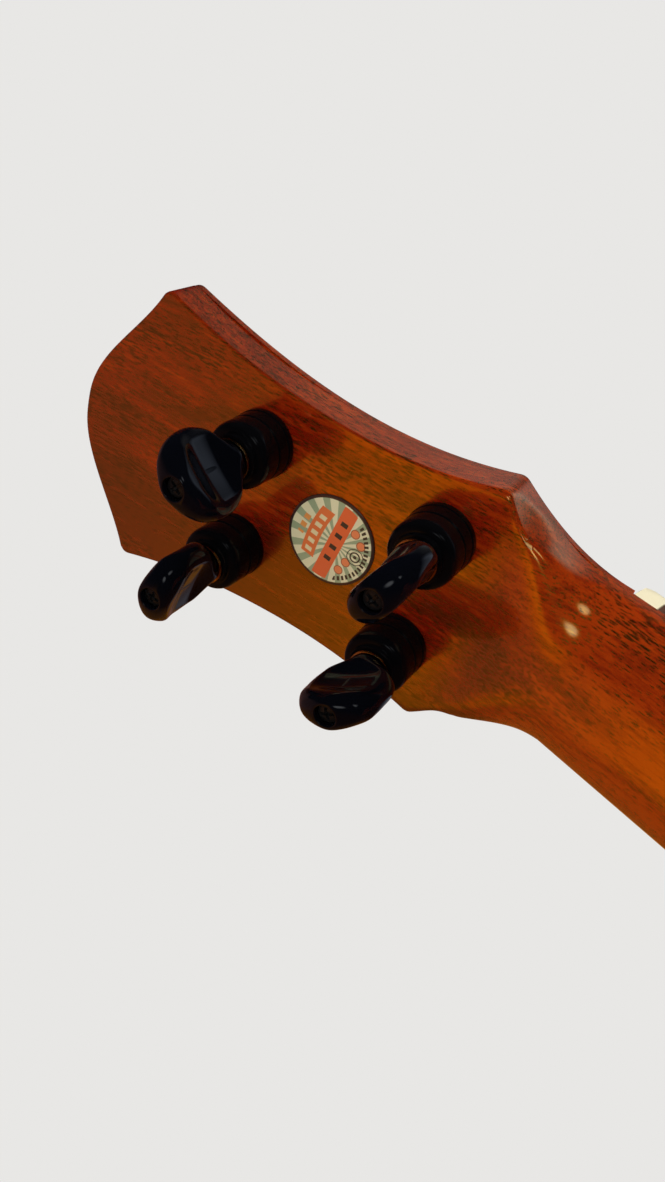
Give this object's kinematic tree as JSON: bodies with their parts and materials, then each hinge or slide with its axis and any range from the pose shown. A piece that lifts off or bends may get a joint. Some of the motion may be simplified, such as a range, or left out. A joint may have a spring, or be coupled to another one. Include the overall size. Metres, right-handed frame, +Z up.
{
  "type": "ukulele",
  "caption": "Concert-size ukulele: hollow wooden body with a round soundhole, neck, tilted headstock and geared rear tuning machines that wind the strings.",
  "frame": {"origin": "on the centre line at the top of the nut, in the plane where the fretboard is glued to the neck, where a hanger's yoke holds the neck under the flare of the headstock", "axes": "+Z up along the neck towards the headstock, -Y out of the soundboard towards the strings, +X to the right seen from the strings' side"},
  "size_m": [0.204, 0.0718, 0.6116],
  "materials": {
    "mahogany_neck": "clear gloss lacquer over open-pored red-brown wood",
    "mahogany_body": "clear gloss lacquer",
    "soundboard_wood": "clear gloss lacquer",
    "headplate_wood": "satin lacquer",
    "fretboard_wood": "oiled, satin",
    "bridge_wood": "oiled, satin",
    "inner_wood": "bare",
    "nut_bone": "polished",
    "nylon": "smooth",
    "gloss_black": "gloss",
    "black_metal": "semi-gloss",
    "button_black": "gloss",
    "gear_steel": "machined",
    "brass": "polished",
    "label_paper": "printed paper under clear dome"
  },
  "bodies": {
    "instrument": {"neck": "mahogany_neck", "headplate": "headplate_wood", "nut": "nut_bone", "fretboard": "fretboard_wood", "soundboard": "soundboard_wood", "sides": "mahogany_body", "back": "mahogany_body", "neck_block": "inner_wood", "tail_block": "inner_wood", "bridge": "bridge_wood", "saddle": "nut_bone", "top_brace_upper": "inner_wood", "top_brace_lower": "inner_wood", "back_brace_upper": "inner_wood", "back_brace_lower": "inner_wood", "label": "label_paper", "string_1": "nylon", "string_2": "nylon", "string_3": "nylon", "string_4": "nylon", "tuner_1_housing": "gloss_black", "tuner_1_ferrule": "black_metal", "tuner_2_housing": "gloss_black", "tuner_2_ferrule": "black_metal", "tuner_3_housing": "gloss_black", "tuner_3_ferrule": "black_metal", "tuner_4_housing": "gloss_black", "tuner_4_ferrule": "black_metal"},
    "button_body_1": {"tuner_1_button": "button_black", "tuner_1_washer": "brass", "tuner_1_screw": "black_metal", "tuner_1_shaft": "gear_steel"},
    "post_body_1": {"tuner_1_post": "black_metal"},
    "planet_body_1_1": {"tuner_1_planet_1": "gear_steel"},
    "planet_body_1_2": {"tuner_1_planet_2": "gear_steel"},
    "planet_body_1_3": {"tuner_1_planet_3": "gear_steel"},
    "button_body_2": {"tuner_2_button": "button_black", "tuner_2_washer": "brass", "tuner_2_screw": "black_metal", "tuner_2_shaft": "gear_steel"},
    "post_body_2": {"tuner_2_post": "black_metal"},
    "planet_body_2_1": {"tuner_2_planet_1": "gear_steel"},
    "planet_body_2_2": {"tuner_2_planet_2": "gear_steel"},
    "planet_body_2_3": {"tuner_2_planet_3": "gear_steel"},
    "button_body_3": {"tuner_3_button": "button_black", "tuner_3_washer": "brass", "tuner_3_screw": "black_metal", "tuner_3_shaft": "gear_steel"},
    "post_body_3": {"tuner_3_post": "black_metal"},
    "planet_body_3_1": {"tuner_3_planet_1": "gear_steel"},
    "planet_body_3_2": {"tuner_3_planet_2": "gear_steel"},
    "planet_body_3_3": {"tuner_3_planet_3": "gear_steel"},
    "button_body_4": {"tuner_4_button": "button_black", "tuner_4_washer": "brass", "tuner_4_screw": "black_metal", "tuner_4_shaft": "gear_steel"},
    "post_body_4": {"tuner_4_post": "black_metal"},
    "planet_body_4_1": {"tuner_4_planet_1": "gear_steel"},
    "planet_body_4_2": {"tuner_4_planet_2": "gear_steel"},
    "planet_body_4_3": {"tuner_4_planet_3": "gear_steel"}
  },
  "joints": [
    {"name": "button_1_turn", "type": "hinge", "parent": "instrument", "child": "button_body_1", "pos_m": [-0.01243, 0.0262, 0.07076], "axis": [0, 0.9703, -0.2419], "continuous": true},
    {"name": "post_1_turn", "type": "hinge", "parent": "instrument", "child": "post_body_1", "pos_m": [-0.01243, 0.0262, 0.07076], "axis": [0, 0.9703, -0.2419], "continuous": true},
    {"name": "planet_1_1_turn", "type": "hinge", "parent": "post_body_1", "child": "planet_body_1_1", "pos_m": [-0.01243, 0.02707, 0.07426], "axis": [0, 0.9703, -0.2419], "continuous": true},
    {"name": "planet_1_2_turn", "type": "hinge", "parent": "post_body_1", "child": "planet_body_1_2", "pos_m": [-0.00931, 0.02576, 0.06902], "axis": [0, 0.9703, -0.2419], "continuous": true},
    {"name": "planet_1_3_turn", "type": "hinge", "parent": "post_body_1", "child": "planet_body_1_3", "pos_m": [-0.01555, 0.02576, 0.06902], "axis": [0, 0.9703, -0.2419], "continuous": true},
    {"name": "button_2_turn", "type": "hinge", "parent": "instrument", "child": "button_body_2", "pos_m": [0.01243, 0.0262, 0.07076], "axis": [0, 0.9703, -0.2419], "continuous": true},
    {"name": "post_2_turn", "type": "hinge", "parent": "instrument", "child": "post_body_2", "pos_m": [0.01243, 0.0262, 0.07076], "axis": [0, 0.9703, -0.2419], "continuous": true},
    {"name": "planet_2_1_turn", "type": "hinge", "parent": "post_body_2", "child": "planet_body_2_1", "pos_m": [0.01243, 0.02707, 0.07426], "axis": [0, 0.9703, -0.2419], "continuous": true},
    {"name": "planet_2_2_turn", "type": "hinge", "parent": "post_body_2", "child": "planet_body_2_2", "pos_m": [0.01555, 0.02576, 0.06902], "axis": [0, 0.9703, -0.2419], "continuous": true},
    {"name": "planet_2_3_turn", "type": "hinge", "parent": "post_body_2", "child": "planet_body_2_3", "pos_m": [0.00931, 0.02576, 0.06902], "axis": [0, 0.9703, -0.2419], "continuous": true},
    {"name": "button_3_turn", "type": "hinge", "parent": "instrument", "child": "button_body_3", "pos_m": [-0.01337, 0.01644, 0.03161], "axis": [0, 0.9703, -0.2419], "continuous": true},
    {"name": "post_3_turn", "type": "hinge", "parent": "instrument", "child": "post_body_3", "pos_m": [-0.01337, 0.01644, 0.03161], "axis": [0, 0.9703, -0.2419], "continuous": true},
    {"name": "planet_3_1_turn", "type": "hinge", "parent": "post_body_3", "child": "planet_body_3_1", "pos_m": [-0.01337, 0.01731, 0.03511], "axis": [0, 0.9703, -0.2419], "continuous": true},
    {"name": "planet_3_2_turn", "type": "hinge", "parent": "post_body_3", "child": "planet_body_3_2", "pos_m": [-0.01025, 0.016, 0.02987], "axis": [0, 0.9703, -0.2419], "continuous": true},
    {"name": "planet_3_3_turn", "type": "hinge", "parent": "post_body_3", "child": "planet_body_3_3", "pos_m": [-0.01649, 0.016, 0.02987], "axis": [0, 0.9703, -0.2419], "continuous": true},
    {"name": "button_4_turn", "type": "hinge", "parent": "instrument", "child": "button_body_4", "pos_m": [0.01337, 0.01644, 0.03161], "axis": [0, 0.9703, -0.2419], "continuous": true},
    {"name": "post_4_turn", "type": "hinge", "parent": "instrument", "child": "post_body_4", "pos_m": [0.01337, 0.01644, 0.03161], "axis": [0, 0.9703, -0.2419], "continuous": true},
    {"name": "planet_4_1_turn", "type": "hinge", "parent": "post_body_4", "child": "planet_body_4_1", "pos_m": [0.01337, 0.01731, 0.03511], "axis": [0, 0.9703, -0.2419], "continuous": true},
    {"name": "planet_4_2_turn", "type": "hinge", "parent": "post_body_4", "child": "planet_body_4_2", "pos_m": [0.01649, 0.016, 0.02987], "axis": [0, 0.9703, -0.2419], "continuous": true},
    {"name": "planet_4_3_turn", "type": "hinge", "parent": "post_body_4", "child": "planet_body_4_3", "pos_m": [0.01025, 0.016, 0.02987], "axis": [0, 0.9703, -0.2419], "continuous": true}
  ],
  "couplings": [
    {"joint": "post_1_turn", "follows": "button_1_turn", "ratio": 0.25},
    {"joint": "planet_1_1_turn", "follows": "button_1_turn", "ratio": -0.75},
    {"joint": "planet_1_2_turn", "follows": "button_1_turn", "ratio": -0.75},
    {"joint": "planet_1_3_turn", "follows": "button_1_turn", "ratio": -0.75},
    {"joint": "post_2_turn", "follows": "button_2_turn", "ratio": 0.25},
    {"joint": "planet_2_1_turn", "follows": "button_2_turn", "ratio": -0.75},
    {"joint": "planet_2_2_turn", "follows": "button_2_turn", "ratio": -0.75},
    {"joint": "planet_2_3_turn", "follows": "button_2_turn", "ratio": -0.75},
    {"joint": "post_3_turn", "follows": "button_3_turn", "ratio": 0.25},
    {"joint": "planet_3_1_turn", "follows": "button_3_turn", "ratio": -0.75},
    {"joint": "planet_3_2_turn", "follows": "button_3_turn", "ratio": -0.75},
    {"joint": "planet_3_3_turn", "follows": "button_3_turn", "ratio": -0.75},
    {"joint": "post_4_turn", "follows": "button_4_turn", "ratio": 0.25},
    {"joint": "planet_4_1_turn", "follows": "button_4_turn", "ratio": -0.75},
    {"joint": "planet_4_2_turn", "follows": "button_4_turn", "ratio": -0.75},
    {"joint": "planet_4_3_turn", "follows": "button_4_turn", "ratio": -0.75}
  ]
}
